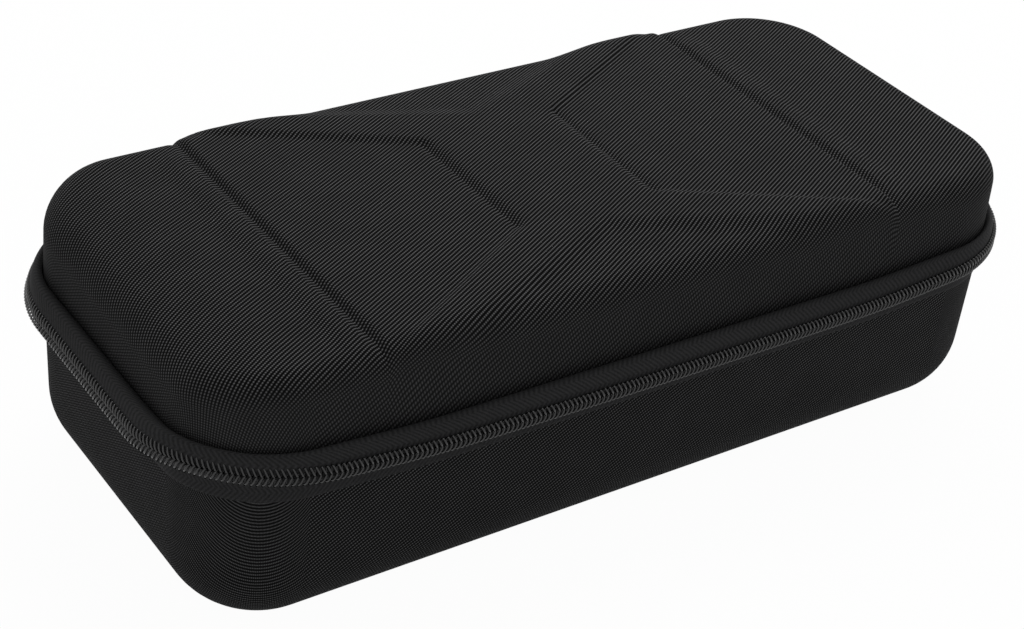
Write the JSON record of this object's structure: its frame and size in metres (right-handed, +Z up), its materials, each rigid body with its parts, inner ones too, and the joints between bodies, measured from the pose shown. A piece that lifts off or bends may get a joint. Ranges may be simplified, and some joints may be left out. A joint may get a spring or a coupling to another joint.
{
  "type": "portable game console case",
  "caption": "Zip-round hard-shell carrying case for a handheld game console, a deep base and a shallow lid with moulded relief, hinged along one long side.",
  "frame": {"origin": "middle of the flat underside that the case stands on", "axes": "+X along the case towards the end with the zip sliders, +Y towards the hinge at the back, +Z up"},
  "size_m": [0.326, 0.1546, 0.0961],
  "materials": {
    "twill_shell": "black ribbed twill laminated on moulded foam sheet, matte with a slight sheen",
    "zip_tape": "black herringbone zip tape, matte",
    "zip_coil": "black nylon coil, satin",
    "zip_metal": "black painted die-cast zinc, satin",
    "rim_binding": "black grosgrain binding tape",
    "cradle_foam": "dark grey brushed lining on foam, matte",
    "strap_webbing": "black webbing",
    "hook_and_loop": "black hook and loop tape",
    "pocket_net": "black knitted net",
    "elastic": "black ribbed elastic"
  },
  "bodies": {
    "base": {"base_shell": "twill_shell", "base_zip_tape": "zip_tape", "base_zip_coil": "zip_coil", "base_rim_binding": "rim_binding", "hinge_strip": "zip_tape", "console_cradle": "cradle_foam", "strap_front": "strap_webbing", "strap_rear": "strap_webbing", "strap_hook_patch": "hook_and_loop", "strap_loop_patch": "hook_and_loop"},
    "lid": {"lid_shell": "twill_shell", "lid_zip_tape": "zip_tape", "lid_zip_coil": "zip_coil", "lid_rim_binding": "rim_binding", "lid_net": "pocket_net", "net_elastic": "elastic"},
    "front_slider": {"front_slider": "zip_metal"},
    "front_pull": {"front_pull": "zip_metal"},
    "rear_slider": {"rear_slider": "zip_metal"},
    "rear_pull": {"rear_pull": "zip_metal"}
  },
  "joints": [
    {"name": "lid_hinge", "type": "hinge", "parent": "base", "child": "lid", "pos_m": [0, 0.078, 0.0655], "axis": [-1, 0, 0], "range_deg": [0, 180], "deforming": ["hinge_strip"]},
    {"name": "front_slider_slide", "type": "slide", "parent": "base", "child": "front_slider", "axis": [0, -1, 0], "range_m": [0, 0.015]},
    {"name": "front_pull_swing", "type": "hinge", "parent": "front_slider", "child": "front_pull", "pos_m": [0.1641, -0.0063, 0.0655], "axis": [0, -1, 0], "range_deg": [0, 170]},
    {"name": "rear_slider_slide", "type": "slide", "parent": "base", "child": "rear_slider", "axis": [0, 1, 0], "range_m": [0, 0.015]},
    {"name": "rear_pull_swing", "type": "hinge", "parent": "rear_slider", "child": "rear_pull", "pos_m": [0.1641, 0.0063, 0.0655], "axis": [0, -1, 0], "range_deg": [0, 170]}
  ]
}
